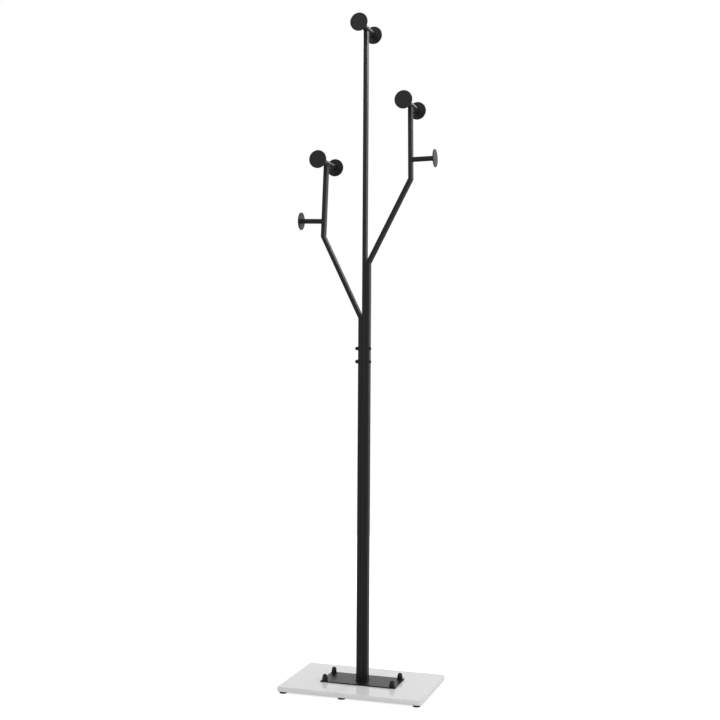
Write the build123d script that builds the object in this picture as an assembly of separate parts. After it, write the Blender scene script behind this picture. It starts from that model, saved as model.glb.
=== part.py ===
from build123d import *
import math
import os
from collections import namedtuple

# Standing coat rack: a stone slab on rubber feet, a bolted flange, a column of three rectangular
# tubes in two lengths, and three stems that fan out and end in round rods and discs for coats.
# Millimetres, +Z up. The origin is on the floor under the middle of the slab. Seen from the
# front, +X is to the right and +Y to the back.

# Slab and feet
SLAB_LENGTH = 388.0
SLAB_DEPTH = 254.0
SLAB_THICKNESS = 12.0
SLAB_CORNER_RADIUS = 10.0
SLAB_TOP_EDGE_RADIUS = 2.5
SLAB_BOTTOM_EDGE_RADIUS = 1.5
FOOT_DIAMETER = 19.5
FOOT_HEIGHT = 5.0
FOOT_EDGE_RADIUS = 0.8
FOOT_INSET_X = 15.5
FOOT_INSET_Y = 11.5
FRONT_MIDDLE_FOOT_X = -19.0
BACK_MIDDLE_FOOT_X = 0.0

# Flange and its four bolts
FLANGE_LENGTH = 204.0
FLANGE_DEPTH = 94.0
FLANGE_THICKNESS = 3.0
FLANGE_CORNER_RADIUS = 2.0
FLANGE_HOLE_INSET = 10.0
BASE_BOLT_DIAMETER = 8.0
BASE_BOLT_HEAD_FLATS = 13.0
BASE_BOLT_HEAD_HEIGHT = 5.3
BASE_BOLT_HOLE_CLEARANCE = 0.5
BASE_BOLT_ENGAGEMENT = 9.0
COUNTERBORE_DIAMETER = 18.0
COUNTERBORE_DEPTH = 6.0
WASHER_DIAMETER = 16.0
WASHER_THICKNESS = 1.6
WASHER_BORE_CLEARANCE = 0.2
BASE_NUT_FLATS = 13.0
BASE_NUT_HEX_HEIGHT = 6.5
BASE_NUT_DOME_DIAMETER = 12.5
BASE_NUT_HEIGHT = 15.0

# Rectangular tube, used for every upright and branch
TUBE_WIDTH = 10.0
TUBE_DEPTH = 20.0
TUBE_WALL = 1.0
TUBE_CORNER_RADIUS = 1.6

# Column and its splice
COLUMN_LENGTH = 907.0
TONGUE_CLEARANCE = 0.2
TONGUE_WALL = 1.2
TONGUE_CORNER_RADIUS = 1.4
TONGUE_BELOW_JOINT = 85.0
TONGUE_ABOVE_JOINT = 40.0
SPLICE_BOLT_DIAMETER = 6.0
SPLICE_BOLT_DROP = 33.5
SPLICE_BOLT_PITCH = 34.5
SPLICE_BOLT_ENGAGEMENT = 5.5
SPLICE_HOLE_CLEARANCE = 0.2
SPLICE_HEAD_DIAMETER = 10.5
SPLICE_HEAD_HEIGHT = 3.3
SPLICE_HEAD_TOP_DIAMETER = 6.0
SPLICE_SOCKET_FLATS = 4.0
SPLICE_SOCKET_DEPTH = 2.0
SPLICE_NUT_FLATS = 10.0
SPLICE_NUT_HEX_HEIGHT = 5.0
SPLICE_NUT_DOME_DIAMETER = 9.5
SPLICE_NUT_HEIGHT = 11.0

# Radial gap between thread and nut, and free length past the bolt's end in a closed nut
THREAD_CLEARANCE = 0.05
THREAD_END_GAP = 1.0

# Coat rods, pegs and discs
STEM_LENGTH = 811.0
HOOK_ROD_DIAMETER = 16.0
PEG_DIAMETER = 13.0
DISC_DIAMETER = 47.0
DISC_THICKNESS = 3.0
DISC_EDGE_RADIUS = 0.6
TOP_HOOK_SPAN = 132.0
BRANCH_HOOK_SPAN = 141.5
PEG_LENGTH = 58.7
SADDLE_CLEARANCE = 0.05

# A branch has three mitred tubes: the root stands above the splice, the arm slopes outwards and
# the tip leans back in. Lengths are along the centre line, between mitres and up to the rod's
# axis. Angles are from the vertical. peg_rise is from the elbow to the peg, along the tip.
Branch = namedtuple("Branch", "side root arm_angle arm tip_lean tip peg_rise")
LEFT_BRANCH = Branch(
    side=-1, root=47.2, arm_angle=26.0, arm=242.8, tip_lean=2.1, tip=194.8, peg_rise=40.4
)
RIGHT_BRANCH = Branch(
    side=1, root=192.2, arm_angle=27.7, arm=244.9, tip_lean=0.6, tip=192.2, peg_rise=50.2
)

# Levels and places that follow from the sizes above
SLAB_TOP = FOOT_HEIGHT + SLAB_THICKNESS
FLANGE_TOP = SLAB_TOP + FLANGE_THICKNESS
JOINT_Z = FLANGE_TOP + COLUMN_LENGTH
COUNTERBORE_ROOF = FOOT_HEIGHT + COUNTERBORE_DEPTH
COLUMN_HALF_WIDTH = 1.5 * TUBE_WIDTH
BASE_BOLT_X = FLANGE_LENGTH / 2 - FLANGE_HOLE_INSET
BASE_BOLT_Y = FLANGE_DEPTH / 2 - FLANGE_HOLE_INSET
BASE_BOLT_PLACES = [Pos(x, y) for x in (-BASE_BOLT_X, BASE_BOLT_X) for y in (-BASE_BOLT_Y, BASE_BOLT_Y)]
SPLICE_BOLT_LEVELS = [JOINT_Z - SPLICE_BOLT_DROP - step * SPLICE_BOLT_PITCH for step in (0, 1)]
ON_ITS_FOOT = (Align.CENTER, Align.CENTER, Align.MIN)
UP = Vector(0, 0, 1)


# ---- shared shapes ----


def post(diameter, height):
    """A round bar that stands on its origin."""
    return Cylinder(diameter / 2, height, align=ON_ITS_FOOT)


def turned(*profile):
    """A solid turned about Z from (radius, height) corners."""
    outline = make_face(Polyline(*[(radius, 0, height) for radius, height in profile], close=True))
    return revolve(outline, axis=Axis.Z)


def hexagon(flats, height):
    """A hexagonal block that stands on its origin, with its corners turned off at 30 degrees."""
    corner = flats / math.sqrt(3)
    turn_off = (corner - flats / 2) * math.tan(math.radians(30))
    envelope = turned(
        (0, 0),
        (flats / 2, 0),
        (corner, turn_off),
        (corner, height - turn_off),
        (flats / 2, height),
        (0, height),
    )
    return extrude(RegularPolygon(flats / 2, 6, major_radius=False), amount=height) & envelope


def cap_nut(flats, hex_height, dome_diameter, height, bolt_diameter, engagement):
    """A closed nut that stands on its seat, with a domed end and a blind hole for its bolt."""
    radius = dome_diameter / 2
    shoulder = height - radius
    sides = Polyline((0, 0, height), (0, 0, 0), (radius, 0, 0), (radius, 0, shoulder))
    halfway = (radius * math.sqrt(0.5), 0, shoulder + radius * math.sqrt(0.5))
    crown = ThreePointArc((radius, 0, shoulder), halfway, (0, 0, height))
    dome = revolve(make_face([sides, crown]), axis=Axis.Z)
    bore = post(bolt_diameter + 2 * THREAD_CLEARANCE, engagement + THREAD_END_GAP)
    return hexagon(flats, hex_height) + dome - bore


def tube_section(width, depth, wall, corner_radius):
    """The hollow section of a rectangular tube, wide side along Y."""
    outer = RectangleRounded(width, depth, corner_radius)
    inner = RectangleRounded(width - 2 * wall, depth - 2 * wall, corner_radius - wall)
    return outer - inner


def tube(start, direction, length):
    """A square-ended rectangular tube from start, its narrow side facing the front."""
    across = Vector(direction.Z, 0, -direction.X)
    section = tube_section(TUBE_WIDTH, TUBE_DEPTH, TUBE_WALL, TUBE_CORNER_RADIUS)
    return extrude(Plane(origin=start, x_dir=across, z_dir=direction) * section, amount=length)


def splice_holes():
    """The two cross holes of the splice, long enough to pass through all three tubes."""
    hole = Cylinder(SPLICE_BOLT_DIAMETER / 2 + SPLICE_HOLE_CLEARANCE, 4 * COLUMN_HALF_WIDTH)
    return [Pos(0, 0, level) * Rot(0, 90, 0) * hole for level in SPLICE_BOLT_LEVELS]


def save(name, shape):
    """Writes one node. Several like solids make one node as a group."""
    group = Compound(children=shape) if isinstance(shape, list) else shape
    export_step(group, f"parts/{name}.step")


# ---- base ----


def slab():
    """The stone slab, with a counterbored bolt hole under each corner of the flange."""
    outline = RectangleRounded(SLAB_LENGTH, SLAB_DEPTH, SLAB_CORNER_RADIUS)
    body = Pos(0, 0, FOOT_HEIGHT) * extrude(outline, amount=SLAB_THICKNESS)
    top_rim = body.faces().sort_by(Axis.Z)[-1].edges()
    body = fillet(top_rim, SLAB_TOP_EDGE_RADIUS)
    bottom_rim = body.faces().sort_by(Axis.Z)[0].edges()
    body = fillet(bottom_rim, SLAB_BOTTOM_EDGE_RADIUS)
    for place in BASE_BOLT_PLACES:
        body -= place * Pos(0, 0, FOOT_HEIGHT) * post(COUNTERBORE_DIAMETER, COUNTERBORE_DEPTH)
        body -= place * bolt_hole(FOOT_HEIGHT, SLAB_TOP)
    return body


def bolt_hole(low, high):
    """The clearance hole for one base bolt, between two levels."""
    return Pos(0, 0, low) * post(BASE_BOLT_DIAMETER + 2 * BASE_BOLT_HOLE_CLEARANCE, high - low)


def feet():
    """Six round rubber feet, with their places as (name, foot)."""
    pad = post(FOOT_DIAMETER, FOOT_HEIGHT)
    pad = fillet(pad.edges().filter_by(GeomType.CIRCLE).sort_by(Axis.Z)[0], FOOT_EDGE_RADIUS)
    end_x = SLAB_LENGTH / 2 - FOOT_INSET_X
    row_y = SLAB_DEPTH / 2 - FOOT_INSET_Y
    return [
        (f"foot_{row}_{place}", Pos(x, y) * pad)
        for row, y, middle_x in (("front", -row_y, FRONT_MIDDLE_FOOT_X), ("back", row_y, BACK_MIDDLE_FOOT_X))
        for place, x in (("left", -end_x), ("middle", middle_x), ("right", end_x))
    ]


def flange():
    """The flat plate that the column is welded on."""
    outline = RectangleRounded(FLANGE_LENGTH, FLANGE_DEPTH, FLANGE_CORNER_RADIUS)
    plate = Pos(0, 0, SLAB_TOP) * extrude(outline, amount=FLANGE_THICKNESS)
    for place in BASE_BOLT_PLACES:
        plate -= place * bolt_hole(SLAB_TOP, FLANGE_TOP)
    return plate


def base_bolts():
    """Hexagon bolts from below, their heads up inside the counterbores."""
    grip = FLANGE_TOP + WASHER_THICKNESS - COUNTERBORE_ROOF
    shank = Pos(0, 0, COUNTERBORE_ROOF) * post(BASE_BOLT_DIAMETER, grip + BASE_BOLT_ENGAGEMENT)
    head = Pos(0, 0, COUNTERBORE_ROOF - BASE_BOLT_HEAD_HEIGHT) * hexagon(
        BASE_BOLT_HEAD_FLATS, BASE_BOLT_HEAD_HEIGHT
    )
    return [place * (shank + head) for place in BASE_BOLT_PLACES]


def base_washers():
    """Flat washers between the flange and the cap nuts."""
    bore = post(BASE_BOLT_DIAMETER + 2 * WASHER_BORE_CLEARANCE, WASHER_THICKNESS)
    washer = Pos(0, 0, FLANGE_TOP) * (post(WASHER_DIAMETER, WASHER_THICKNESS) - bore)
    return [place * washer for place in BASE_BOLT_PLACES]


def base_cap_nuts():
    """Domed nuts that close the four base bolts on top of the flange."""
    nut = cap_nut(
        BASE_NUT_FLATS,
        BASE_NUT_HEX_HEIGHT,
        BASE_NUT_DOME_DIAMETER,
        BASE_NUT_HEIGHT,
        BASE_BOLT_DIAMETER,
        BASE_BOLT_ENGAGEMENT,
    )
    return [place * Pos(0, 0, FLANGE_TOP + WASHER_THICKNESS) * nut for place in BASE_BOLT_PLACES]


# ---- column and splice ----


def column_tube(x):
    """One of the three lower tubes, from the flange to the joint."""
    return tube(Vector(x, 0, FLANGE_TOP), UP, COLUMN_LENGTH) - splice_holes()


def splice_tongue(x):
    """The smaller tube inside one column tube that carries the upper half across the joint."""
    section = tube_section(
        TUBE_WIDTH - 2 * (TUBE_WALL + TONGUE_CLEARANCE),
        TUBE_DEPTH - 2 * (TUBE_WALL + TONGUE_CLEARANCE),
        TONGUE_WALL,
        TONGUE_CORNER_RADIUS,
    )
    length = TONGUE_BELOW_JOINT + TONGUE_ABOVE_JOINT
    return Pos(x, 0, JOINT_Z - TONGUE_BELOW_JOINT) * extrude(section, amount=length) - splice_holes()


def splice_bolts():
    """Two button-head screws through all three tubes, heads on the right."""
    shank = post(SPLICE_BOLT_DIAMETER, 2 * COLUMN_HALF_WIDTH + SPLICE_BOLT_ENGAGEMENT)
    head = turned(
        (0, 0),
        (SPLICE_HEAD_DIAMETER / 2, 0),
        (SPLICE_HEAD_DIAMETER / 2, -SPLICE_HEAD_HEIGHT / 4),
        (SPLICE_HEAD_TOP_DIAMETER / 2, -SPLICE_HEAD_HEIGHT),
        (0, -SPLICE_HEAD_HEIGHT),
    )
    head = fillet(head.edges().filter_by(GeomType.CIRCLE).sort_by(Axis.Z)[1], SPLICE_HEAD_HEIGHT / 2)
    socket = extrude(
        Pos(0, 0, -SPLICE_HEAD_HEIGHT) * RegularPolygon(SPLICE_SOCKET_FLATS / 2, 6, major_radius=False),
        amount=SPLICE_SOCKET_DEPTH,
    )
    bolt = shank + head - socket
    return [Pos(COLUMN_HALF_WIDTH, 0, level) * Rot(0, -90, 0) * bolt for level in SPLICE_BOLT_LEVELS]


def splice_cap_nuts():
    """Two small domed nuts on the left ends of the splice screws."""
    nut = cap_nut(
        SPLICE_NUT_FLATS,
        SPLICE_NUT_HEX_HEIGHT,
        SPLICE_NUT_DOME_DIAMETER,
        SPLICE_NUT_HEIGHT,
        SPLICE_BOLT_DIAMETER,
        SPLICE_BOLT_ENGAGEMENT,
    )
    return [Pos(-COLUMN_HALF_WIDTH, 0, level) * Rot(0, -90, 0) * nut for level in SPLICE_BOLT_LEVELS]


# ---- rods, pegs and discs ----


def disc():
    """A flat coat disc that stands on its inner face, with softened rims."""
    plate = post(DISC_DIAMETER, DISC_THICKNESS)
    return fillet(plate.edges().filter_by(GeomType.CIRCLE), DISC_EDGE_RADIUS)


def hook(span, axis_point):
    """A round rod from front to back with a disc on each end: (rod, front disc, back disc)."""
    bar_length = span - 2 * DISC_THICKNESS
    front = Pos(axis_point) * Rot(90, 0, 0)
    back = Pos(axis_point) * Rot(-90, 0, 0)
    rod = front * Cylinder(HOOK_ROD_DIAMETER / 2, bar_length)
    seat = Pos(0, 0, bar_length / 2)
    return rod, front * seat * disc(), back * seat * disc()


def saddle(span, axis_point):
    """The round notch that seats a rod in the open end of a tube."""
    return Pos(axis_point) * Rot(90, 0, 0) * Cylinder(HOOK_ROD_DIAMETER / 2 + SADDLE_CLEARANCE, span)


# ---- stem and branches ----


def stem(axis_point):
    """The middle tube above the joint, straight up to the top rod."""
    upright = tube(Vector(0, 0, JOINT_Z), UP, STEM_LENGTH)
    return upright - saddle(TOP_HOOK_SPAN, axis_point)


def sloped(angle):
    """The direction that leans to +X by an angle from the vertical."""
    return Vector(math.sin(math.radians(angle)), 0, math.cos(math.radians(angle)))


def branch_points(branch):
    """Centre-line points of a branch (foot, fork, elbow, rod axis) and its three directions."""
    arm_way = sloped(branch.side * branch.arm_angle)
    tip_way = sloped(-branch.side * branch.tip_lean)
    foot = Vector(branch.side * TUBE_WIDTH, 0, JOINT_Z)
    fork = foot + UP * branch.root
    elbow = fork + arm_way * branch.arm
    rod_axis = elbow + tip_way * branch.tip
    return (foot, fork, elbow, rod_axis), (UP, arm_way, tip_way)


def mitre(point, below, above):
    """The plane that halves the angle between two tubes, facing up along them."""
    return Plane(origin=point, z_dir=(below + above).normalized())


def branch_tubes(branch):
    """The root, arm and tip of a branch, cut to fit each other and the rod."""
    (foot, fork, elbow, rod_axis), (root_way, arm_way, tip_way) = branch_points(branch)
    fork_cut = mitre(fork, root_way, arm_way)
    elbow_cut = mitre(elbow, arm_way, tip_way)
    spare = TUBE_DEPTH
    root = tube(foot, root_way, branch.root + spare)
    root = split(root, bisect_by=fork_cut, keep=Keep.BOTTOM)
    arm = tube(fork - arm_way * spare, arm_way, branch.arm + 2 * spare)
    arm = split(arm, bisect_by=fork_cut, keep=Keep.TOP)
    arm = split(arm, bisect_by=elbow_cut, keep=Keep.BOTTOM)
    tip = tube(elbow - tip_way * spare, tip_way, branch.tip + spare)
    tip = split(tip, bisect_by=elbow_cut, keep=Keep.TOP)
    return root, arm, tip - saddle(BRANCH_HOOK_SPAN, rod_axis)


def side_peg(branch):
    """The peg on the outer side of a tip, square to it, and the disc on its end."""
    (_, _, elbow, _), (_, _, tip_way) = branch_points(branch)
    outward = Vector(tip_way.Z, 0, -tip_way.X) * branch.side
    foot = elbow + tip_way * branch.peg_rise + outward * (TUBE_WIDTH / 2)
    along = Plane(origin=foot, x_dir=(0, 1, 0), z_dir=outward).location
    return along * post(PEG_DIAMETER, PEG_LENGTH), along * Pos(0, 0, PEG_LENGTH) * disc()


# ---- the whole rack ----

os.makedirs("parts", exist_ok=True)

save("stone_base", slab())
for foot_name, foot_pad in feet():
    save(foot_name, foot_pad)
save("flange_plate", flange())
save("base_bolts", base_bolts())
save("base_washers", base_washers())
save("base_cap_nuts", base_cap_nuts())

for place, x in (("left", -TUBE_WIDTH), ("middle", 0), ("right", TUBE_WIDTH)):
    save(f"column_tube_{place}", column_tube(x))
    save(f"splice_tongue_{place}", splice_tongue(x))
save("splice_bolts", splice_bolts())
save("splice_cap_nuts", splice_cap_nuts())

TOP_ROD_AXIS = Vector(0, 0, JOINT_Z + STEM_LENGTH)
save("centre_stem", stem(TOP_ROD_AXIS))
hooks = [("top", TOP_HOOK_SPAN, TOP_ROD_AXIS)]
for place, branch in (("left", LEFT_BRANCH), ("right", RIGHT_BRANCH)):
    for piece_name, piece in zip(("root", "arm", "tip"), branch_tubes(branch)):
        save(f"{place}_branch_{piece_name}", piece)
    peg, peg_disc = side_peg(branch)
    save(f"{place}_side_peg", peg)
    save(f"{place}_side_disc", peg_disc)
    hooks.append((place, BRANCH_HOOK_SPAN, branch_points(branch)[0][-1]))

for place, span, axis_point in hooks:
    rod, front_disc, back_disc = hook(span, axis_point)
    save(f"{place}_hook_rod", rod)
    save(f"{place}_front_disc", front_disc)
    save(f"{place}_back_disc", back_disc)
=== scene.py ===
# Standing coat rack: a polished stone slab on rubber feet, a bolted steel flange, a column of three
# rectangular tubes with a bolted splice, and three stems whose tops carry round rods and flat discs.
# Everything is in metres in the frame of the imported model, which stands on z = 0 and faces -y.
from math import cos, pi, radians, sin, sqrt

import bmesh
import bpy
from mathutils import Matrix, Vector, noise


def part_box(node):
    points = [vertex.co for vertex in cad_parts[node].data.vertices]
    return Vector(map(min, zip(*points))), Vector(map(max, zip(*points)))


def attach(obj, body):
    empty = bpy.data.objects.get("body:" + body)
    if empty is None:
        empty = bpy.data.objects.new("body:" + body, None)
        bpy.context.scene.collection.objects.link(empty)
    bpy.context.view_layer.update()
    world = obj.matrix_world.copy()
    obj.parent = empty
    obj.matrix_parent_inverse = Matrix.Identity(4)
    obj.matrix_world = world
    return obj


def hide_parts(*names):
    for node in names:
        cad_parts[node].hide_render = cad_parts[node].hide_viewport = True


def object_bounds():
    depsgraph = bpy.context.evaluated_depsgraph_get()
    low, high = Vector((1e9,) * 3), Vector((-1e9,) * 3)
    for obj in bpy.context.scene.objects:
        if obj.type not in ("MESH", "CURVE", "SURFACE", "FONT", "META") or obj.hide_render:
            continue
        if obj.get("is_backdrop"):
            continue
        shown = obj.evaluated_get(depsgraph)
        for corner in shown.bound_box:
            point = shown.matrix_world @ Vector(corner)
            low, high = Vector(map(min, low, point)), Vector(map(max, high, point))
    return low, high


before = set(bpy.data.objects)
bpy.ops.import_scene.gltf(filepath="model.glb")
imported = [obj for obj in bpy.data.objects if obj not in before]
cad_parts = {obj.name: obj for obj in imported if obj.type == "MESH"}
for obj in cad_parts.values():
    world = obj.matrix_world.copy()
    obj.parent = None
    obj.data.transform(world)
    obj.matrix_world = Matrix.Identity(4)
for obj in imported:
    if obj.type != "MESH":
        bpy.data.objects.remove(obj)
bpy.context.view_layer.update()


# ---- Camera ----
# It stands three metres off, a little to the right of the front and half as high as the rack, and
# looks level. It hangs a third of a degree out of true, so the rack leans slightly clockwise.
camera_turn, camera_tilt, camera_roll = radians(17.79), radians(0.015), radians(0.343)
camera_distance, camera_offset, camera_height = 2.992, -0.0117, 0.8625
across = Vector((cos(camera_turn), sin(camera_turn), 0))
ahead = Vector((-sin(camera_turn), cos(camera_turn), 0))
above = Vector((0, 0, 1))
sight = ahead * cos(camera_tilt) + above * sin(camera_tilt)
view_top = above * cos(camera_tilt) - ahead * sin(camera_tilt)
view_right = across * cos(camera_roll) + view_top * sin(camera_roll)
view_up = view_top * cos(camera_roll) - across * sin(camera_roll)

camera_place = across * camera_offset - ahead * camera_distance + above * camera_height
bpy.ops.object.camera_add(location=camera_place)
camera = bpy.context.object
camera.name = "camera"
camera.data.sensor_width = 36
camera.data.lens = 56.68
camera.data.clip_start, camera.data.clip_end = 0.05, 60
camera.rotation_euler = Matrix((view_right, view_up, -sight)).transposed().to_euler()
bpy.context.scene.camera = camera
bpy.context.scene.view_settings.view_transform = "Standard"


# ---- Floor and light ----
# A plain white studio floor that fades into a white backdrop. The room is dimmer to the left,
# overhead and low down at the back, so that the black coat mirrors it unevenly. Five soft boxes
# light the rack: overhead, on the right, behind on both sides and in front.
def put(tree, kind, inputs=None, **settings):
    """Adds a node, sets its settings, and sets or links its inputs."""
    node = tree.nodes.new(kind)
    for name, value in settings.items():
        setattr(node, name, value)
    for name, value in (inputs or {}).items():
        if isinstance(value, bpy.types.NodeSocket):
            tree.links.new(value, node.inputs[name])
        else:
            node.inputs[name].default_value = value
    return node


def grey(level):
    """A neutral colour of that linear level."""
    return (level, level, level, 1)


def bare_material(name):
    """A new material with no nodes yet, and its tree."""
    material = bpy.data.materials.new(name)
    material.use_nodes = True
    material.node_tree.nodes.clear()
    return material, material.node_tree


world = bpy.data.worlds.new("studio")
bpy.context.scene.world = world
world.use_nodes = True
tree = world.node_tree
tree.nodes.clear()
way = put(tree, "ShaderNodeSeparateXYZ", {"Vector": put(tree, "ShaderNodeTexCoord").outputs["Generated"]})


def ramp(tree, value, start, stop, first, last, easing="SMOOTHSTEP"):
    """A step from one level to another while a value goes from start to stop."""
    inputs = {"Value": value, "From Min": start, "From Max": stop, "To Min": first, "To Max": last}
    return put(tree, "ShaderNodeMapRange", inputs, interpolation_type=easing).outputs[0]


def times(tree, first, second):
    """The product of two values."""
    return put(tree, "ShaderNodeMath", {0: first, 1: second}, operation="MULTIPLY").outputs[0]


def larger(tree, first, second):
    """The larger of two values."""
    return put(tree, "ShaderNodeMath", {0: first, 1: second}, operation="MAXIMUM").outputs[0]


back_wall = ramp(tree, way.outputs["Y"], start=-0.35, stop=0.45, first=1.06, last=1.12)
dim_left = ramp(tree, way.outputs["X"], start=-0.25, stop=0.2, first=0.7, last=1.0)
dim_ceiling = ramp(tree, way.outputs["Z"], start=0.12, stop=0.6, first=1.0, last=0.4)
dim_far_floor = ramp(tree, way.outputs["Z"], start=-0.15, stop=0.0, first=0.15, last=1.0)
in_front = ramp(tree, way.outputs["Y"], start=-0.1, stop=0.3, first=1.0, last=0.0)
walls = times(tree, back_wall, dim_left)
room = times(tree, walls, times(tree, dim_ceiling, larger(tree, dim_far_floor, in_front)))
seen = put(tree, "ShaderNodeLightPath").outputs["Is Camera Ray"]
glow = put(tree, "ShaderNodeBackground", {"Color": grey(1), "Strength": larger(tree, room, seen)})
put(tree, "ShaderNodeOutputWorld", {"Surface": glow.outputs["Background"]})

floor_radius, fade_start, fade_stop = 2.6, 0.5, 1.5
bpy.ops.object.select_all(action="DESELECT")
bpy.ops.mesh.primitive_circle_add(vertices=128, radius=floor_radius, fill_type="NGON", location=(0, 0, 0))
floor = bpy.context.object
floor.name = "floor"
floor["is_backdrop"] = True
white_floor, tree = bare_material("white_floor")
seen = put(tree, "ShaderNodeLightPath").outputs["Is Camera Ray"]
bounce = put(tree, "ShaderNodeBsdfDiffuse", {"Color": grey(0.88)})
pale = put(tree, "ShaderNodeBsdfDiffuse", {"Color": grey(0.6)})
spot = put(tree, "ShaderNodeTexCoord").outputs["Object"]
distance = put(tree, "ShaderNodeVectorMath", {0: spot}, operation="LENGTH").outputs["Value"]
fade = ramp(tree, distance, fade_start, fade_stop, first=0.8, last=1.1)
lift = put(tree, "ShaderNodeEmission", {"Color": grey(1), "Strength": fade})
lifted = put(tree, "ShaderNodeAddShader", {0: pale.outputs[0], 1: lift.outputs[0]})
shown = put(tree, "ShaderNodeMixShader", {0: seen, 1: bounce.outputs[0], 2: lifted.outputs[0]})
put(tree, "ShaderNodeOutputMaterial", {"Surface": shown.outputs[0]})
floor.data.materials.append(white_floor)


def soft_box(name, place, aim, width, height, watts):
    """A rectangular area light at a place, turned towards a point."""
    bpy.ops.object.light_add(type="AREA", location=place)
    box = bpy.context.object
    box.name = name
    box.visible_camera = False
    box.data.shape = "RECTANGLE"
    box.data.size, box.data.size_y = width, height
    box.data.energy = watts
    box.rotation_euler = (Vector(aim) - Vector(place)).to_track_quat("-Z", "Y").to_euler()


soft_box("box_overhead", (0.3, 0.3, 3.2), aim=(0, 0, 0.6), width=1.8, height=1.8, watts=13)
soft_box("box_right", (2.6, -0.9, 1.6), aim=(0, 0, 0.9), width=1.0, height=2.4, watts=12)
soft_box("box_behind_right", (0.9, 2.6, 2.8), aim=(0, 0, 1.7), width=0.9, height=0.8, watts=15)
soft_box("box_behind_left", (-0.82, 2.6, 0.8), aim=(0, 0, 0.1), width=1.6, height=0.9, watts=5.5)
soft_box("box_front", (-0.95, -3.0, 3.2), aim=(0, 0, 1.7), width=1.4, height=0.6, watts=13)


# ---- Rubber feet ----
# Six round pads of black rubber stuck under the slab, moulded with a shallow cup in the sole and a
# small flash ring on the rim. Each foot is turned once and copied to its six places.
def only(piece):
    """Selects one piece alone and makes it the active one."""
    bpy.ops.object.select_all(action="DESELECT")
    piece.select_set(True)
    bpy.context.view_layer.objects.active = piece


def turned(name, profile, steps=64):
    """A round piece about z: its (radius, height) corners are drawn point by point and spun."""
    bpy.ops.object.select_all(action="DESELECT")
    bpy.ops.mesh.primitive_plane_add(size=0.001, location=(0, 0, 0))
    piece = bpy.context.object
    piece.name = name
    bpy.ops.object.mode_set(mode="EDIT")
    bpy.ops.mesh.select_mode(type="VERT")
    bpy.ops.mesh.select_all(action="SELECT")
    bpy.ops.mesh.merge(type="CENTER")
    bpy.ops.transform.translate(value=(profile[0][0], 0, profile[0][1]))
    for (radius, height), (next_radius, next_height) in zip(profile, profile[1:]):
        step = (next_radius - radius, 0, next_height - height)
        bpy.ops.mesh.extrude_vertices_move(TRANSFORM_OT_translate={"value": step})
    bpy.ops.mesh.select_all(action="SELECT")
    bpy.ops.mesh.spin(steps=steps, angle=2 * pi, center=(0, 0, 0), axis=(0, 0, 1))
    bpy.ops.mesh.select_all(action="SELECT")
    bpy.ops.mesh.remove_doubles(threshold=1e-6)
    bpy.ops.mesh.normals_make_consistent(inside=False)
    bpy.ops.object.mode_set(mode="OBJECT")
    return piece


def arc(middle, radius, start, stop, steps):
    """Corners of a profile along an arc round its middle, angles in degrees from the radius axis."""
    angles = [radians(start + (stop - start) * step / steps) for step in range(steps + 1)]
    return [(middle[0] + radius * cos(angle), middle[1] + radius * sin(angle)) for angle in angles]


sharp_angle = radians(40)


def soften(piece, width, segments=2):
    """Rounds the sharp edges of a piece by a small width."""
    only(piece)
    modifier = piece.modifiers.new("edge", "BEVEL")
    modifier.width = width
    modifier.segments = segments
    modifier.limit_method = "ANGLE"
    modifier.angle_limit = sharp_angle
    modifier.use_clamp_overlap = True
    bpy.ops.object.modifier_apply(modifier="edge")


def smooth(piece):
    """Shades the curved faces smooth and keeps the flat ones flat."""
    only(piece)
    bpy.ops.object.shade_smooth_by_angle(angle=sharp_angle)
    modifier = piece.modifiers.new("flats", "WEIGHTED_NORMAL")
    modifier.keep_sharp = True
    bpy.ops.object.modifier_apply(modifier="flats")


def copy_to(pattern, name, matrix):
    """A copy of a pattern piece, with its own mesh, put in its place."""
    piece = pattern.copy()
    piece.data = pattern.data.copy()
    piece.name = piece.data.name = name
    bpy.context.scene.collection.objects.link(piece)
    piece.data.transform(matrix)
    piece.data.update()
    return piece


def fit(piece, material, slot, *nodes):
    """A finished piece gets its material, stands for its nodes and rides on the rack. The slot is not
    used.
    """
    piece.data.materials.clear()
    piece.data.materials.append(material)
    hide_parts(*nodes)
    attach(piece, "root")


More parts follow.
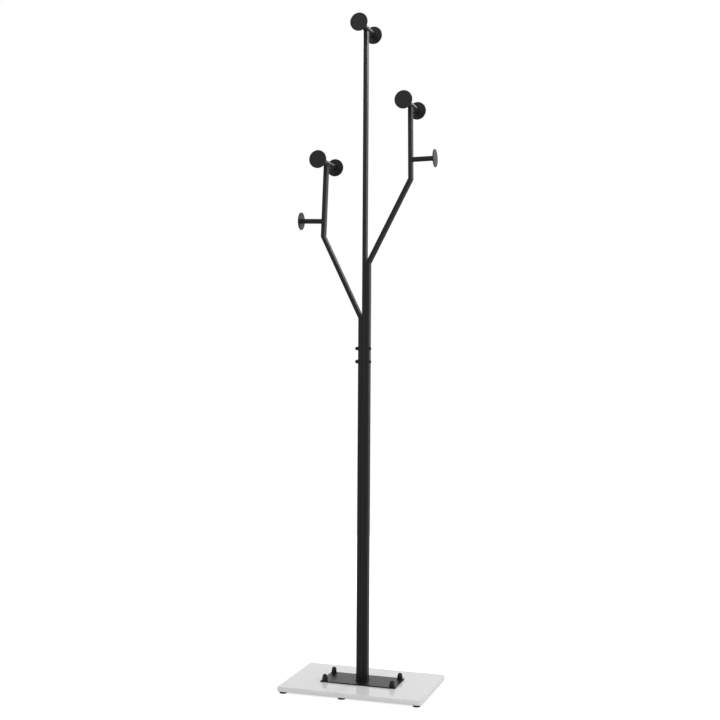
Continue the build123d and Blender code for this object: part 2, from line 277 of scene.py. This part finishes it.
def surface_group():
    """Shared fine surface: cloudy tone, patchy gloss, grain height and a mask of the edges."""
    group = bpy.data.node_groups.new("fine_surface", "ShaderNodeTree")
    for name, value in (
        ("Cloud Scale", 40.0),
        ("Gloss Scale", 160.0),
        ("Gloss Low", 0.4),
        ("Gloss High", 0.6),
        ("Grain Scale", 900.0),
        ("Fine Grain", 0.3),
        ("Edge Width", 0.0006),
    ):
        socket = group.interface.new_socket(name, in_out="INPUT", socket_type="NodeSocketFloat")
        socket.default_value = value
    for name in ("Cloud", "Roughness", "Height", "Edge"):
        group.interface.new_socket(name, in_out="OUTPUT", socket_type="NodeSocketFloat")
    given = put(group, "NodeGroupInput").outputs
    place = put(group, "ShaderNodeTexCoord").outputs["Object"]
    cloud_size = {"Vector": place, "Scale": given["Cloud Scale"], "Detail": 3.0}
    cloud = put(group, "ShaderNodeTexNoise", cloud_size)
    patch = put(
        group,
        "ShaderNodeTexNoise",
        {"Vector": place, "Scale": given["Gloss Scale"], "Detail": 4.0, "Roughness": 0.6},
    )
    low, high = given["Gloss Low"], given["Gloss High"]
    gloss = ramp(group, patch.outputs["Fac"], 0.3, 0.7, first=low, last=high, easing="LINEAR")
    peel_size = {"Vector": place, "Scale": given["Grain Scale"], "Detail": 1.0}
    peel = put(group, "ShaderNodeTexNoise", peel_size)
    finer = times(group, given["Grain Scale"], 4.3)
    dust = put(group, "ShaderNodeTexNoise", {"Vector": place, "Scale": finer, "Detail": 1.0})
    height = put(
        group,
        "ShaderNodeMath",
        {0: dust.outputs["Fac"], 1: given["Fine Grain"], 2: peel.outputs["Fac"]},
        operation="MULTIPLY_ADD",
    )
    rounded = put(group, "ShaderNodeBevel", {"Radius": given["Edge Width"]}, samples=4)
    true = put(group, "ShaderNodeNewGeometry").outputs["Normal"]
    agree = put(group, "ShaderNodeVectorMath", {0: rounded.outputs[0], 1: true}, operation="DOT_PRODUCT")
    edge = ramp(group, agree.outputs["Value"], 0.995, 0.9, first=0.0, last=1.0, easing="LINEAR")
    put(
        group,
        "NodeGroupOutput",
        {"Cloud": cloud.outputs["Fac"], "Roughness": gloss, "Height": height.outputs[0], "Edge": edge},
    )
    return group


fine_surface = surface_group()


def blend_colours(tree, share, first, second):
    """A colour between two, by a share from 0 to 1."""
    mix = put(tree, "ShaderNodeMix", {0: share, 6: first, 7: second}, data_type="RGBA")
    return mix.outputs[2]


def coated(name, dark, light, edge, surface, depth, specular, metallic=0.0):
    """A finish on the shared fine surface: two tones in clouds, worn edges, patchy gloss, grain."""
    material, tree = bare_material(name)
    fine = put(tree, "ShaderNodeGroup", surface, node_tree=fine_surface)
    clouds = blend_colours(tree, fine.outputs["Cloud"], dark, light)
    colour = blend_colours(tree, fine.outputs["Edge"], clouds, edge)
    relief = {"Height": fine.outputs["Height"], "Distance": depth, "Strength": 0.5}
    bump = put(tree, "ShaderNodeBump", relief)
    shader = put(
        tree,
        "ShaderNodeBsdfPrincipled",
        {
            "Base Color": colour,
            "Roughness": fine.outputs["Roughness"],
            "Normal": bump.outputs["Normal"],
            "Specular IOR Level": specular,
            "Metallic": metallic,
        },
    )
    put(tree, "ShaderNodeOutputMaterial", {"Surface": shader.outputs[0]})
    return material


black_rubber = coated(
    "black_rubber",
    dark=(0.006, 0.006, 0.006, 1),
    light=(0.012, 0.012, 0.011, 1),
    edge=(0.02, 0.02, 0.02, 1),
    surface={"Cloud Scale": 120.0, "Gloss Low": 0.65, "Gloss High": 0.85, "Grain Scale": 2200.0},
    depth=0.00006,
    specular=0.3,
)

foot_low, foot_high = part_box("foot_front_left")
foot_radius = (foot_high.x - foot_low.x) / 2
foot_height = foot_high.z
cup_radius, cup_depth, cup_slope = 0.0052, 0.0009, 0.0007
rim_radius, flash, shoulder, foot_edge = 0.0008, 0.0003, 0.0006, 0.00012
flash_level, neck_level, shoulder_level = foot_height * 0.62, foot_height * 0.66, foot_height * 0.94
foot_pattern = turned(
    "foot",
    [(0, cup_depth), (cup_radius - cup_slope, cup_depth), (cup_radius, 0)]
    + arc((foot_radius - rim_radius, rim_radius), rim_radius, -90, 0, 6)
    + [
        (foot_radius, flash_level),
        (foot_radius - flash, neck_level),
        (foot_radius - flash, shoulder_level),
        (foot_radius - shoulder, foot_height),
        (0, foot_height),
    ],
)
soften(foot_pattern, foot_edge)
smooth(foot_pattern)
for row in ("front", "back"):
    for place in ("left", "middle", "right"):
        node = f"foot_{row}_{place}"
        low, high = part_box(node)
        middle = (low + high) / 2
        foot = copy_to(foot_pattern, f"rubber_{node}", Matrix.Translation((middle.x, middle.y, 0)))
        fit(foot, black_rubber, "black_rubber", node)
bpy.data.objects.remove(foot_pattern)


# ---- Stone slab ----
# A slab of white engineered marble, sawn, with rounded corners and eased edges, polished on top and
# round the rim and left matt below, where four counterbored holes take the bolts.
def block(name, low, high):
    """A block between two corners, with its place in its mesh."""
    low, high = Vector(low), Vector(high)
    bpy.ops.object.select_all(action="DESELECT")
    bpy.ops.mesh.primitive_cube_add(size=1, location=(low + high) / 2, scale=high - low)
    piece = bpy.context.object
    piece.name = name
    bpy.ops.object.transform_apply(location=True, rotation=True, scale=True)
    return piece


def pick(piece, kind, test):
    """Opens a piece in edit mode with those corners, edges or faces selected that pass a test."""
    only(piece)
    bpy.ops.object.mode_set(mode="EDIT")
    bpy.ops.mesh.select_mode(type=kind)
    bpy.ops.mesh.select_all(action="DESELECT")
    shape = bmesh.from_edit_mesh(piece.data)
    parts = {"VERT": shape.verts, "EDGE": shape.edges, "FACE": shape.faces}[kind]
    for part in parts:
        part.select_set(bool(test(part)))
    shape.select_flush_mode()
    bmesh.update_edit_mesh(piece.data)


def near(first, second, reach=1e-5):
    """Whether two lengths are the same but for rounding."""
    return abs(first - second) < reach


def round_edges(piece, test, radius, steps):
    """Rounds the edges that pass a test."""
    pick(piece, "EDGE", test)
    bpy.ops.mesh.bevel(offset=radius, segments=steps, affect="EDGES")
    bpy.ops.object.mode_set(mode="OBJECT")


def upright(edge):
    """Whether an edge runs along z."""
    way = edge.verts[1].co - edge.verts[0].co
    return abs(way.z) > 0.99 * way.length


def at_level(level):
    """A test for edges that lie at one level."""
    return lambda edge: all(near(corner.co.z, level) for corner in edge.verts)


def rod(name, radius, low, high, place=(0, 0), steps=48):
    """A plain round bar along z, as a tool for cutting holes."""
    bpy.ops.object.select_all(action="DESELECT")
    middle = (place[0], place[1], (low + high) / 2)
    bpy.ops.mesh.primitive_cylinder_add(vertices=steps, radius=radius, depth=high - low, location=middle)
    tool = bpy.context.object
    tool.name = name
    bpy.ops.object.transform_apply(location=True, rotation=True, scale=True)
    return tool


def carve(piece, tool, operation="DIFFERENCE"):
    """Cuts, joins or intersects a piece with a tool, puts the tool away and merges doubled corners."""
    only(piece)
    modifier = piece.modifiers.new("carve", "BOOLEAN")
    modifier.operation = operation
    modifier.solver = "EXACT"
    modifier.object = tool
    bpy.ops.object.modifier_apply(modifier="carve")
    bpy.data.objects.remove(tool)
    bpy.ops.object.mode_set(mode="EDIT")
    bpy.ops.mesh.select_all(action="SELECT")
    bpy.ops.mesh.remove_doubles(threshold=1e-5)
    bpy.ops.object.mode_set(mode="OBJECT")


polished_stone, tree = bare_material("white_polished_stone")
place = put(tree, "ShaderNodeTexCoord").outputs["Object"]
drift = put(tree, "ShaderNodeTexNoise", {"Vector": place, "Scale": 9.0, "Detail": 4.0, "Roughness": 0.55})
grains = put(tree, "ShaderNodeTexVoronoi", {"Vector": place, "Scale": 700.0})
specks = ramp(tree, grains.outputs["Distance"], 0.0, 0.25, first=0.35, last=0.0, easing="LINEAR")
crystals = put(
    tree, "ShaderNodeTexNoise", {"Vector": place, "Scale": 260.0, "Detail": 3.0, "Roughness": 0.7}
)
body = blend_colours(tree, drift.outputs["Fac"], (0.84, 0.84, 0.845, 1), (0.88, 0.88, 0.88, 1))
grainy = blend_colours(tree, crystals.outputs["Fac"], body, (0.86, 0.86, 0.855, 1))
speckled = blend_colours(tree, specks, grainy, (0.72, 0.72, 0.72, 1))
level = put(tree, "ShaderNodeSeparateXYZ", {"Vector": place}).outputs["Z"]
slab_low, slab_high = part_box("stone_base")
polish_ends, saw_starts = slab_low.z + 0.0009, slab_low.z + 0.0003
sole = ramp(tree, level, polish_ends, saw_starts, first=0.0, last=1.0, easing="LINEAR")
sawn = blend_colours(tree, sole, speckled, (0.55, 0.55, 0.54, 1))
polish = ramp(tree, crystals.outputs["Fac"], 0.3, 0.7, first=0.04, last=0.08, easing="LINEAR")
matt = put(tree, "ShaderNodeMath", {0: sole, 1: 0.5, 2: polish}, operation="MULTIPLY_ADD")
lap_depth = 0.00001
lap_marks = {"Height": crystals.outputs["Fac"], "Distance": lap_depth, "Strength": 0.3}
lap = put(tree, "ShaderNodeBump", lap_marks)
shader = put(
    tree,
    "ShaderNodeBsdfPrincipled",
    {
        "Base Color": sawn,
        "Roughness": matt.outputs[0],
        "Normal": lap.outputs[0],
        "Specular IOR Level": 0.04,
    },
)
put(tree, "ShaderNodeOutputMaterial", {"Surface": shader.outputs[0]})

slab_corner, slab_top_edge, slab_bottom_edge = 0.010, 0.0025, 0.0015
slab = block("stone_slab", slab_low, slab_high)
round_edges(slab, upright, slab_corner, 12)
round_edges(slab, at_level(slab_high.z), slab_top_edge, 5)
round_edges(slab, at_level(slab_low.z), slab_bottom_edge, 3)
washer_low, washer_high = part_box("base_washers")
flange_low, flange_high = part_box("flange_plate")
washer_radius = 0.008
bolt_x, bolt_y = washer_high.x - washer_radius, washer_high.y - washer_radius
bolt_places = [(x, y) for x in (-bolt_x, bolt_x) for y in (-bolt_y, bolt_y)]
counterbore_radius, counterbore_depth, hole_radius, past = 0.009, 0.006, 0.0045, 0.001
for place in bolt_places:
    counterbore_top = slab_low.z + counterbore_depth
    carve(slab, rod("drill", counterbore_radius, slab_low.z - past, counterbore_top, place))
    carve(slab, rod("drill", hole_radius, slab_low.z, slab_high.z + past, place))
smooth(slab)
fit(slab, polished_stone, "white_polished_stone", "stone_base")


# ---- Flange, bolts, washers and domed nuts ----
# A laser-cut steel plate, powder coated black, lies on the slab. Four zinc plated bolts come up
# through both and are closed by a black washer and a black domed nut each.
powder_coat = coated(
    "black_powder_coat",
    dark=(0.0055, 0.0055, 0.0058, 1),
    light=(0.0085, 0.0085, 0.0086, 1),
    edge=(0.013, 0.013, 0.013, 1),
    surface={
        "Cloud Scale": 60.0,
        "Gloss Scale": 170.0,
        "Gloss Low": 0.40,
        "Gloss High": 0.50,
        "Grain Scale": 1100.0,
    },
    depth=0.00005,
    specular=0.3,
)
black_fastener = coated(
    "black_fasteners",
    dark=(0.005, 0.005, 0.005, 1),
    light=(0.009, 0.009, 0.0095, 1),
    edge=(0.02, 0.02, 0.021, 1),
    surface={
        "Cloud Scale": 200.0,
        "Gloss Scale": 400.0,
        "Gloss Low": 0.24,
        "Gloss High": 0.4,
        "Grain Scale": 1500.0,
    },
    depth=0.00002,
    specular=0.36,
)
zinc_plate = coated(
    "zinc_plated_steel",
    dark=(0.42, 0.42, 0.44, 1),
    light=(0.62, 0.62, 0.63, 1),
    edge=(0.75, 0.75, 0.76, 1),
    surface={
        "Cloud Scale": 150.0,
        "Gloss Scale": 500.0,
        "Gloss Low": 0.25,
        "Gloss High": 0.45,
        "Grain Scale": 1800.0,
    },
    depth=0.00002,
    specular=0.5,
    metallic=1.0,
)

flange_corner, flange_edge = 0.002, 0.0004
flange = block("flange", flange_low, flange_high)
round_edges(flange, upright, flange_corner, 5)
for place in bolt_places:
    carve(flange, rod("drill", hole_radius, flange_low.z - past, flange_high.z + past, place))
soften(flange, flange_edge, 3)
smooth(flange)
fit(flange, powder_coat, "black_powder_coat", "flange_plate")

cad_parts["base_bolts"].material_slots[0].material = zinc_plate

washer_thickness = washer_high.z - washer_low.z
washer_bore, washer_edge = 0.0042, 0.0003
washer_pattern = turned(
    "washer",
    [
        (washer_bore, 0),
        (washer_radius, 0),
        (washer_radius, washer_thickness),
        (washer_bore, washer_thickness),
        (washer_bore, 0),
    ],
)
soften(washer_pattern, washer_edge, 3)
smooth(washer_pattern)


nut_edge, chamfer_slope = 0.00015, 0.577


def domed_nut(name, flats, hex_height, dome_radius, height, bore_radius, bore_depth):
    """A domed nut that stands on z = 0: a hexagon turned off at its corners, with a round cap."""
    corner = flats / sqrt(3)
    fall = (corner - flats / 2) * chamfer_slope
    skim, clear = 0.0002, 0.0003
    bpy.ops.object.select_all(action="DESELECT")
    middle = (0, 0, hex_height / 2)
    bpy.ops.mesh.primitive_cylinder_add(
        vertices=6, radius=corner, depth=hex_height, location=middle, rotation=(0, 0, pi / 6)
    )
    nut = bpy.context.object
    nut.name = name
    bpy.ops.object.transform_apply(location=True, rotation=True, scale=True)
    envelope = turned(
        "envelope",
        [
            (0, -fall),
            (flats / 2 - fall, -fall),
            (flats / 2 - skim, 0),
            (corner + skim, fall + clear),
            (corner + skim, hex_height - fall - clear),
            (flats / 2 - skim, hex_height),
            (flats / 2 - fall, hex_height + fall),
            (0, hex_height + fall),
        ],
        steps=48,
    )
    carve(nut, envelope, "INTERSECT")
    cap = turned(
        "cap",
        [(0, hex_height / 2), (dome_radius, hex_height / 2), (dome_radius, height - dome_radius)]
        + arc((0, height - dome_radius), dome_radius, 0, 90, 14)[1:],
        steps=48,
    )
    carve(nut, cap, "UNION")
    carve(nut, rod("drill", bore_radius, -past, bore_depth))
    soften(nut, nut_edge)
    smooth(nut)
    return nut


nut_low, nut_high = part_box("base_cap_nuts")
nut_pattern = domed_nut(
    "nut",
    flats=0.013,
    hex_height=0.0065,
    dome_radius=0.00625,
    height=nut_high.z - nut_low.z,
    bore_radius=0.00405,
    bore_depth=0.010,
)
for number, (place, turn) in enumerate(zip(bolt_places, (12, 41, 27, 3)), 1):
    on_flange = Matrix.Translation((*place, flange_high.z))
    washer = copy_to(washer_pattern, f"base_washer_{number}", on_flange)
    fit(washer, black_fastener, "black_fasteners", "base_washers")
    on_washer = Matrix.Translation((*place, washer_high.z)) @ Matrix.Rotation(radians(turn), 4, "Z")
    nut = copy_to(nut_pattern, f"base_cap_nut_{number}", on_washer)
    fit(nut, black_fastener, "black_fasteners", "base_cap_nuts")
bpy.data.objects.remove(washer_pattern)
bpy.data.objects.remove(nut_pattern)


# ---- Column ----
# Three 10 x 20 mm tubes with a 1 mm wall stand side by side on the flange, drilled across for the
# splice's two screws. The weld bead round their foot was laid by hand, so it swells and thins a little.
tube_wall, tube_corner, drill_length = 0.001, 0.0016, 0.05


def open_tube(name, low, high):
    """A rectangular tube along z between two corners, open at both ends, with rolled corners."""
    tube = block(name, low, high)
    pick(tube, "FACE", lambda face: abs(face.normal.z) > 0.9)
    bpy.ops.mesh.delete(type="ONLY_FACE")
    bpy.ops.object.mode_set(mode="OBJECT")
    round_edges(tube, upright, tube_corner, 6)
    modifier = tube.modifiers.new("wall", "SOLIDIFY")
    modifier.thickness = tube_wall
    modifier.offset = -1
    modifier.use_even_offset = True
    bpy.ops.object.modifier_apply(modifier="wall")
    return tube


def ease_rim(tube, level, middle, half_x, half_y, radius=0.0003):
    """Rounds the outer rim of an upright tube's end, so that the joint shows as a hairline."""
    outer_share = 0.93

    def is_outer(place):
        return max(abs(place.x - middle) / half_x, abs(place.y) / half_y) > outer_share

    def on_rim(edge):
        return all(near(corner.co.z, level) and is_outer(corner.co) for corner in edge.verts)

    round_edges(tube, on_rim, radius, 2)


def outline(half_x, half_y, corner, count):
    """Evenly spaced points round a rectangle with rounded corners, as (x, y)."""
    points = []
    sides = (2 * (half_y - corner), 2 * (half_x - corner)) * 2
    bend = corner * pi / 2
    length = sum(sides) + 4 * bend
    for number in range(count):
        along = length * number / count
        start, heading = Vector((half_x, corner - half_y)), Vector((0, 1))
        for side in sides:
            inward = Vector((-heading.y, heading.x))
            if along < side:
                points.append(start + heading * along)
                break
            along -= side
            start += heading * side
            if along < bend:
                turn = along / corner
                points.append(start + inward * corner * (1 - cos(turn)) + heading * corner * sin(turn))
                break
            along -= bend
            start += (inward + heading) * corner
            heading = inward
    return points


def weld_bead(name, path, thickness):
    """A hand-laid weld bead along a closed path, with overlapping ripples."""
    ripple, wander, wander_scale = 0.1, 0.25, 180
    curve = bpy.data.curves.new(name, "CURVE")
    curve.dimensions = "3D"
    spline = curve.splines.new("POLY")
    spline.points.add(len(path) - 1)
    for number, (corner, place) in enumerate(zip(spline.points, path)):
        corner.co = (*place, 1)
        uneven = wander * noise.noise(Vector(place) * wander_scale)
        corner.radius = 1 + ripple * cos(number * pi / 2) + uneven
    spline.use_cyclic_u = True
    curve.bevel_depth = thickness
    curve.bevel_resolution = 3
    bead = bpy.data.objects.new(name, curve)
    bpy.context.scene.collection.objects.link(bead)
    only(bead)
    bpy.ops.object.convert(target="MESH")
    bead = bpy.context.object
    bpy.ops.object.shade_smooth()
    return bead


splice_low, splice_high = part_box("splice_bolts")
screw_head_radius, screw_radius, screw_clearance = 0.00525, 0.003, 0.0002
screw_levels = (splice_low.z + screw_head_radius, splice_high.z - screw_head_radius)
column_low, column_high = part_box("column_tube_left")
joint_level = column_high.z
tube_half_x, tube_half_y = (column_high.x - column_low.x) / 2, column_high.y


def cross_drill(level, radius):
    """A drill along x through the whole column."""
    bpy.ops.object.select_all(action="DESELECT")
    bpy.ops.mesh.primitive_cylinder_add(
        vertices=32, radius=radius, depth=drill_length, location=(0, 0, level), rotation=(0, pi / 2, 0)
    )
    drill = bpy.context.object
    bpy.ops.object.transform_apply(location=True, rotation=True, scale=True)
    return drill


for place in ("left", "middle", "right"):
    low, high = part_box(f"column_tube_{place}")
    tube = open_tube(f"column_{place}", low, high)
    ease_rim(tube, high.z, (low.x + high.x) / 2, tube_half_x, tube_half_y)
    for level in screw_levels:
        carve(tube, cross_drill(level, screw_radius + screw_clearance))
    smooth(tube)
    fit(tube, powder_coat, "black_powder_coat", f"column_tube_{place}")

column_half_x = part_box("column_tube_right")[1].x
foot_bead_radius, foot_bead_corner = 0.0017, 0.002
foot_bead_stand, foot_bead_level = 0.0002, flange_high.z + 0.0003
foot_half_x, foot_half_y = column_half_x + foot_bead_stand, tube_half_y + foot_bead_stand
foot_outline = outline(foot_half_x, foot_half_y, foot_bead_corner, 132)
foot_path = [(*place, foot_bead_level) for place in foot_outline]
foot_weld = weld_bead("column_foot_weld", foot_path, foot_bead_radius)
fit(foot_weld, powder_coat, "black_powder_coat")


# ---- Splice ----
# Three zinc plated tongues inside the tubes carry the upper half. Two button-head screws with hex
# sockets pass through all three from the right, and small domed nuts close them on the left.
for place in ("left", "middle", "right"):
    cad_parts[f"splice_tongue_{place}"].material_slots[0].material = zinc_plate

screw_head_height = splice_high.x - column_half_x
screw_length = column_half_x - splice_low.x
socket_flats, socket_depth, lead_in, screw_edge = 0.004, 0.002, 0.0005, 0.00012
screw_end = [(0, -screw_length), (screw_radius - lead_in, -screw_length)]
shank = [(screw_radius, lead_in - screw_length), (screw_radius, 0)]
head_rim = [(screw_head_radius, 0), (screw_head_radius, 0.0006)]
button = [(0.0050, 0.0013), (0.0044, 0.0021), (0.0036, 0.0028), (0.0028, screw_head_height - 0.0001)]
crown = [(0.0025, screw_head_height), (0, screw_head_height)]
screw_pattern = turned("screw", screw_end + shank + head_rim + button + crown, steps=48)
bpy.ops.object.select_all(action="DESELECT")
bpy.ops.mesh.primitive_cylinder_add(
    vertices=6, radius=socket_flats / sqrt(3), depth=2 * socket_depth, location=(0, 0, screw_head_height)
)
socket = bpy.context.object
bpy.ops.object.transform_apply(location=True, rotation=True, scale=True)
carve(screw_pattern, socket)
soften(screw_pattern, screw_edge)
smooth(screw_pattern)

small_nut_low, small_nut_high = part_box("splice_cap_nuts")
small_nut_height = small_nut_high.x - small_nut_low.x
small_nut_pattern = domed_nut(
    "nut",
    flats=0.010,
    hex_height=0.005,
    dome_radius=0.00475,
    height=small_nut_height,
    bore_radius=0.00305,
    bore_depth=0.0065,
)
for number, (level, turn) in enumerate(zip(screw_levels, (8, 33)), 1):
    turned_by = Matrix.Rotation(radians(turn), 4, "Z")
    to_right = Matrix.Translation((column_half_x, 0, level)) @ Matrix.Rotation(pi / 2, 4, "Y")
    screw = copy_to(screw_pattern, f"splice_screw_{number}", to_right @ turned_by)
    fit(screw, black_fastener, "black_fasteners", "splice_bolts")
    to_left = Matrix.Translation((-column_half_x, 0, level)) @ Matrix.Rotation(-pi / 2, 4, "Y")
    nut = copy_to(small_nut_pattern, f"splice_cap_nut_{number}", to_left @ turned_by)
    fit(nut, black_fastener, "black_fasteners", "splice_cap_nuts")
bpy.data.objects.remove(screw_pattern)
bpy.data.objects.remove(small_nut_pattern)


# ---- Centre stem ----
# The middle tube goes straight on up over its tongue. Its top is notched to the round rod and
# welded to it all round.
rod_low, rod_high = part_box("top_hook_rod")
rod_radius = (rod_high.x - rod_low.x) / 2
top_axis = Vector((0, 0, (rod_low.z + rod_high.z) / 2))
notch_clearance = 0.00005


def notch(tube, axis):
    """Cuts the round seat of a rod that lies along y."""
    bpy.ops.object.select_all(action="DESELECT")
    bpy.ops.mesh.primitive_cylinder_add(
        vertices=64,
        radius=rod_radius + notch_clearance,
        depth=drill_length,
        location=axis,
        rotation=(pi / 2, 0, 0),
    )
    drill = bpy.context.object
    bpy.ops.object.transform_apply(location=True, rotation=True, scale=True)
    carve(tube, drill)


def seat_path(axis, lean):
    """The line where a tube that leans to +x by an angle meets the rod on its top, as points."""
    turn = Matrix.Rotation(lean, 3, "Y")
    return [
        axis + turn @ Vector((x, y, -sqrt(rod_radius**2 - x**2)))
        for x, y in outline(tube_half_x, tube_half_y, tube_corner, 96)
    ]


seat_bead_radius = 0.0011
stem_low, stem_high = (-tube_half_x, -tube_half_y, joint_level), (tube_half_x, tube_half_y, top_axis.z)
stem = open_tube("centre_stem_tube", stem_low, stem_high)
ease_rim(stem, joint_level, 0, tube_half_x, tube_half_y)
notch(stem, top_axis)
smooth(stem)
fit(stem, powder_coat, "black_powder_coat", "centre_stem")
top_weld = weld_bead("top_seat_weld", seat_path(top_axis, 0), seat_bead_radius)
fit(top_weld, powder_coat, "black_powder_coat")


# ---- Branches ----
# Each branch is a root, an arm and a tip of the same tube, cut on the mitre, welded and ground
# flush. Lengths run along the centre line, and angles are from the upright.
def leaning_tube(name, start, lean, length):
    """An open tube from a point on its centre line, leaning to +x by an angle."""
    tube = open_tube(name, (-tube_half_x, -tube_half_y, 0), (tube_half_x, tube_half_y, length))
    only(tube)
    tube.location = start
    tube.rotation_euler = (0, lean, 0)
    bpy.ops.object.transform_apply(location=True, rotation=True, scale=True)
    return tube


def way_of(lean):
    """The direction of a tube that leans to +x by an angle."""
    return Vector((sin(lean), 0, cos(lean)))


def mitre(tube, corner, below, above, keep_upper):
    """Cuts a tube on the plane that halves the angle at a corner, and closes the wall's rim."""
    only(tube)
    bpy.ops.object.mode_set(mode="EDIT")
    bpy.ops.mesh.select_all(action="SELECT")
    bpy.ops.mesh.bisect(
        plane_co=corner,
        plane_no=(way_of(below) + way_of(above)).normalized(),
        clear_inner=keep_upper,
        clear_outer=not keep_upper,
    )
    bpy.ops.mesh.bridge_edge_loops()
    bpy.ops.mesh.select_all(action="SELECT")
    bpy.ops.mesh.normals_make_consistent(inside=False)
    bpy.ops.object.mode_set(mode="OBJECT")


spare = 0.02
tips = {}
for side, place, root_length, arm_lean, arm_length, tip_lean, tip_length in (
    (-1, "left", 0.0472, 26.0, 0.2428, 2.1, 0.1948),
    (1, "right", 0.1922, 27.7, 0.2449, 0.6, 0.1922),
):
    arm_lean, tip_lean = side * radians(arm_lean), -side * radians(tip_lean)
    foot = Vector((side * 2 * tube_half_x, 0, joint_level))
    fork = foot + way_of(0) * root_length
    elbow = fork + way_of(arm_lean) * arm_length
    rod_axis = elbow + way_of(tip_lean) * tip_length
    tips[place] = (elbow, tip_lean, rod_axis)

    root = leaning_tube(f"{place}_root_tube", foot, 0, root_length + spare)
    ease_rim(root, joint_level, foot.x, tube_half_x, tube_half_y)
    mitre(root, fork, 0, arm_lean, keep_upper=False)
    smooth(root)
    fit(root, powder_coat, "black_powder_coat", f"{place}_branch_root")

    arm_start = fork - way_of(arm_lean) * spare
    arm = leaning_tube(f"{place}_arm_tube", arm_start, arm_lean, arm_length + 2 * spare)
    mitre(arm, fork, 0, arm_lean, keep_upper=True)
    mitre(arm, elbow, arm_lean, tip_lean, keep_upper=False)
    smooth(arm)
    fit(arm, powder_coat, "black_powder_coat", f"{place}_branch_arm")

    tip_start = elbow - way_of(tip_lean) * spare
    tip = leaning_tube(f"{place}_tip_tube", tip_start, tip_lean, tip_length + spare)
    mitre(tip, elbow, arm_lean, tip_lean, keep_upper=True)
    notch(tip, rod_axis)
    smooth(tip)
    fit(tip, powder_coat, "black_powder_coat", f"{place}_branch_tip")
    seat_weld = weld_bead(f"{place}_seat_weld", seat_path(rod_axis, tip_lean), seat_bead_radius)
    fit(seat_weld, powder_coat, "black_powder_coat")


# ---- Rods, pegs and discs ----
# Round bars run through from front to back on the three tops, and one peg stands out from each
# branch. Laser-cut discs are welded on their ends, each with a small fillet bead behind it.
bead_size, bead_wander, bead_proud, wander_scale = 0.0022, 0.0005, 0.0001, 420


def hollow_fillet(radius, face, inward):
    """The profile of a fillet weld between a bar and the face at its end."""
    steps = 6
    middle = (radius + bead_size, face + inward * bead_size)
    angles = [pi / 2 * step / steps for step in range(steps + 1)]
    return [
        (middle[0] - bead_size * sin(angle), middle[1] - inward * bead_size * cos(angle))
        for angle in angles
    ]


def roughen(piece, radius, depth):
    """Makes the welds a little uneven: what stands proud of the bar moves in and out."""
    for corner in piece.data.vertices:
        away = Vector((corner.co.x, corner.co.y, 0))
        if away.length > radius + bead_proud:
            corner.co += away.normalized() * depth * noise.noise(corner.co * wander_scale)


def welded_bar(name, radius, length):
    """A bar along z from z = 0, with a fillet weld round each end."""
    lower = hollow_fillet(radius, 0, 1)
    upper = hollow_fillet(radius, length, -1)
    bar = turned(name, [(0, 0), *lower, *reversed(upper), (0, length)])
    roughen(bar, radius, bead_wander)
    smooth(bar)
    return bar


disc_low, disc_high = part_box("top_front_disc")
disc_radius, disc_thickness = (disc_high.z - disc_low.z) / 2, disc_high.y - disc_low.y
disc_edge, face_ring = 0.0006, disc_radius * 0.55
disc_pattern = turned(
    "disc",
    [(0, 0), (face_ring, 0)]
    + arc((disc_radius - disc_edge, disc_edge), disc_edge, -90, 0, 4)
    + arc((disc_radius - disc_edge, disc_thickness - disc_edge), disc_edge, 0, 90, 4)
    + [(face_ring, disc_thickness), (0, disc_thickness)],
    steps=96,
)
smooth(disc_pattern)

to_front, to_back = Matrix.Rotation(pi / 2, 4, "X"), Matrix.Rotation(-pi / 2, 4, "X")
axes = {"top": top_axis, "left": tips["left"][2], "right": tips["right"][2]}
for place, axis in axes.items():
    low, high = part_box(f"{place}_hook_rod")
    bar = welded_bar(f"{place}_rod", rod_radius, high.y - low.y)
    bar.data.transform(Matrix.Translation((axis.x, low.y, axis.z)) @ to_back)
    fit(bar, powder_coat, "black_powder_coat", f"{place}_hook_rod")
    front_end = Matrix.Translation((axis.x, low.y, axis.z)) @ to_front
    front = copy_to(disc_pattern, f"{place}_front_plate", front_end)
    fit(front, powder_coat, "black_powder_coat", f"{place}_front_disc")
    back_end = Matrix.Translation((axis.x, high.y, axis.z)) @ to_back
    back = copy_to(disc_pattern, f"{place}_back_plate", back_end)
    fit(back, powder_coat, "black_powder_coat", f"{place}_back_disc")

peg_length, peg_radius = 0.0587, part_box("left_side_peg")[1].y
for place, side, peg_rise in (("left", -1, 0.0404), ("right", 1, 0.0502)):
    elbow, lean, _ = tips[place]
    outward = Vector((cos(lean), 0, -sin(lean))) * side
    foot = elbow + way_of(lean) * peg_rise + outward * tube_half_x
    square_to_tip = Matrix.Translation(foot) @ Matrix.Rotation(lean + side * pi / 2, 4, "Y")
    peg = welded_bar(f"{place}_peg", peg_radius, peg_length)
    peg.data.transform(square_to_tip)
    fit(peg, powder_coat, "black_powder_coat", f"{place}_side_peg")
    outer_end = square_to_tip @ Matrix.Translation((0, 0, peg_length))
    plate = copy_to(disc_pattern, f"{place}_side_plate", outer_end)
    fit(plate, powder_coat, "black_powder_coat", f"{place}_side_disc")
bpy.data.objects.remove(disc_pattern)


# ---- The whole model's size ----
low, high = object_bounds()
